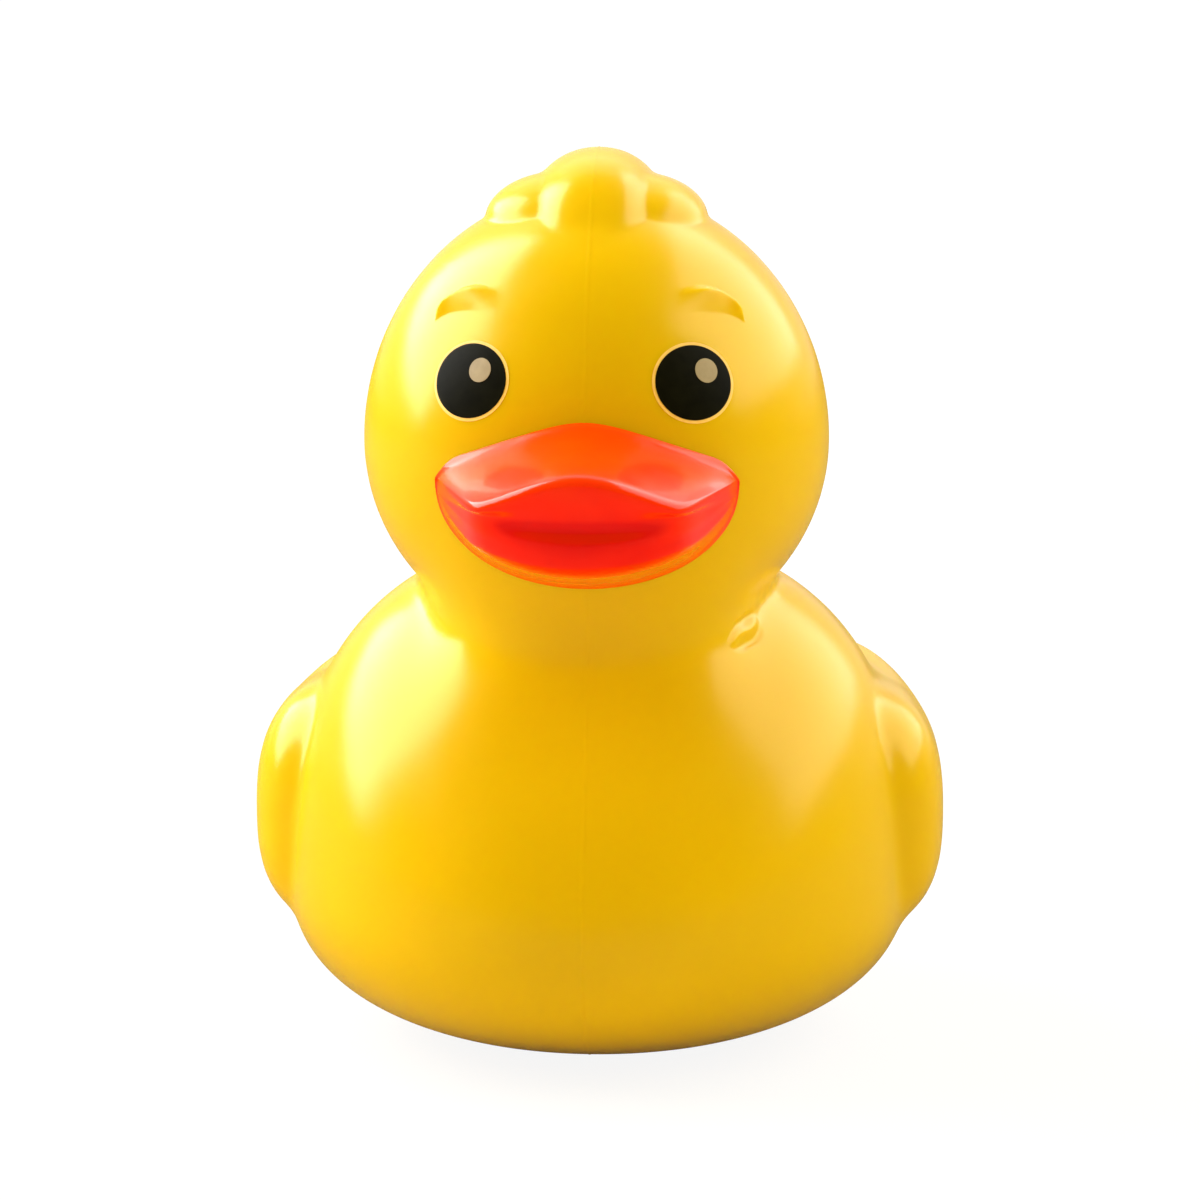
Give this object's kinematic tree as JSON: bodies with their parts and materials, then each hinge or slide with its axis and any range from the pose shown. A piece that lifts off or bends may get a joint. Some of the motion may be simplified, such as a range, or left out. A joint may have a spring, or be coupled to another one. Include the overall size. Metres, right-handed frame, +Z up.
{
  "type": "squeeze toy duck",
  "caption": "Soft vinyl toy duck moulded in one piece, with a round body on a flat base, wing pads, an upturned tail, a large head with a tuft, and a broad bill.",
  "frame": {"origin": "middle of the flat base", "axes": "+Z up, -Y forwards along the bill, +X to the duck's left"},
  "size_m": [0.0664, 0.0828, 0.0854],
  "materials": {
    "skin": "glossy soft vinyl, yellow all through",
    "bill_paint": "glossy orange paint on the moulded bill",
    "eye_black": "satin black print",
    "eye_rim": "thin cream border round the eye print",
    "eye_glint": "pale spot printed on the eye"
  },
  "bodies": {
    "root": {"duck": "skin"}
  },
  "joints": []
}
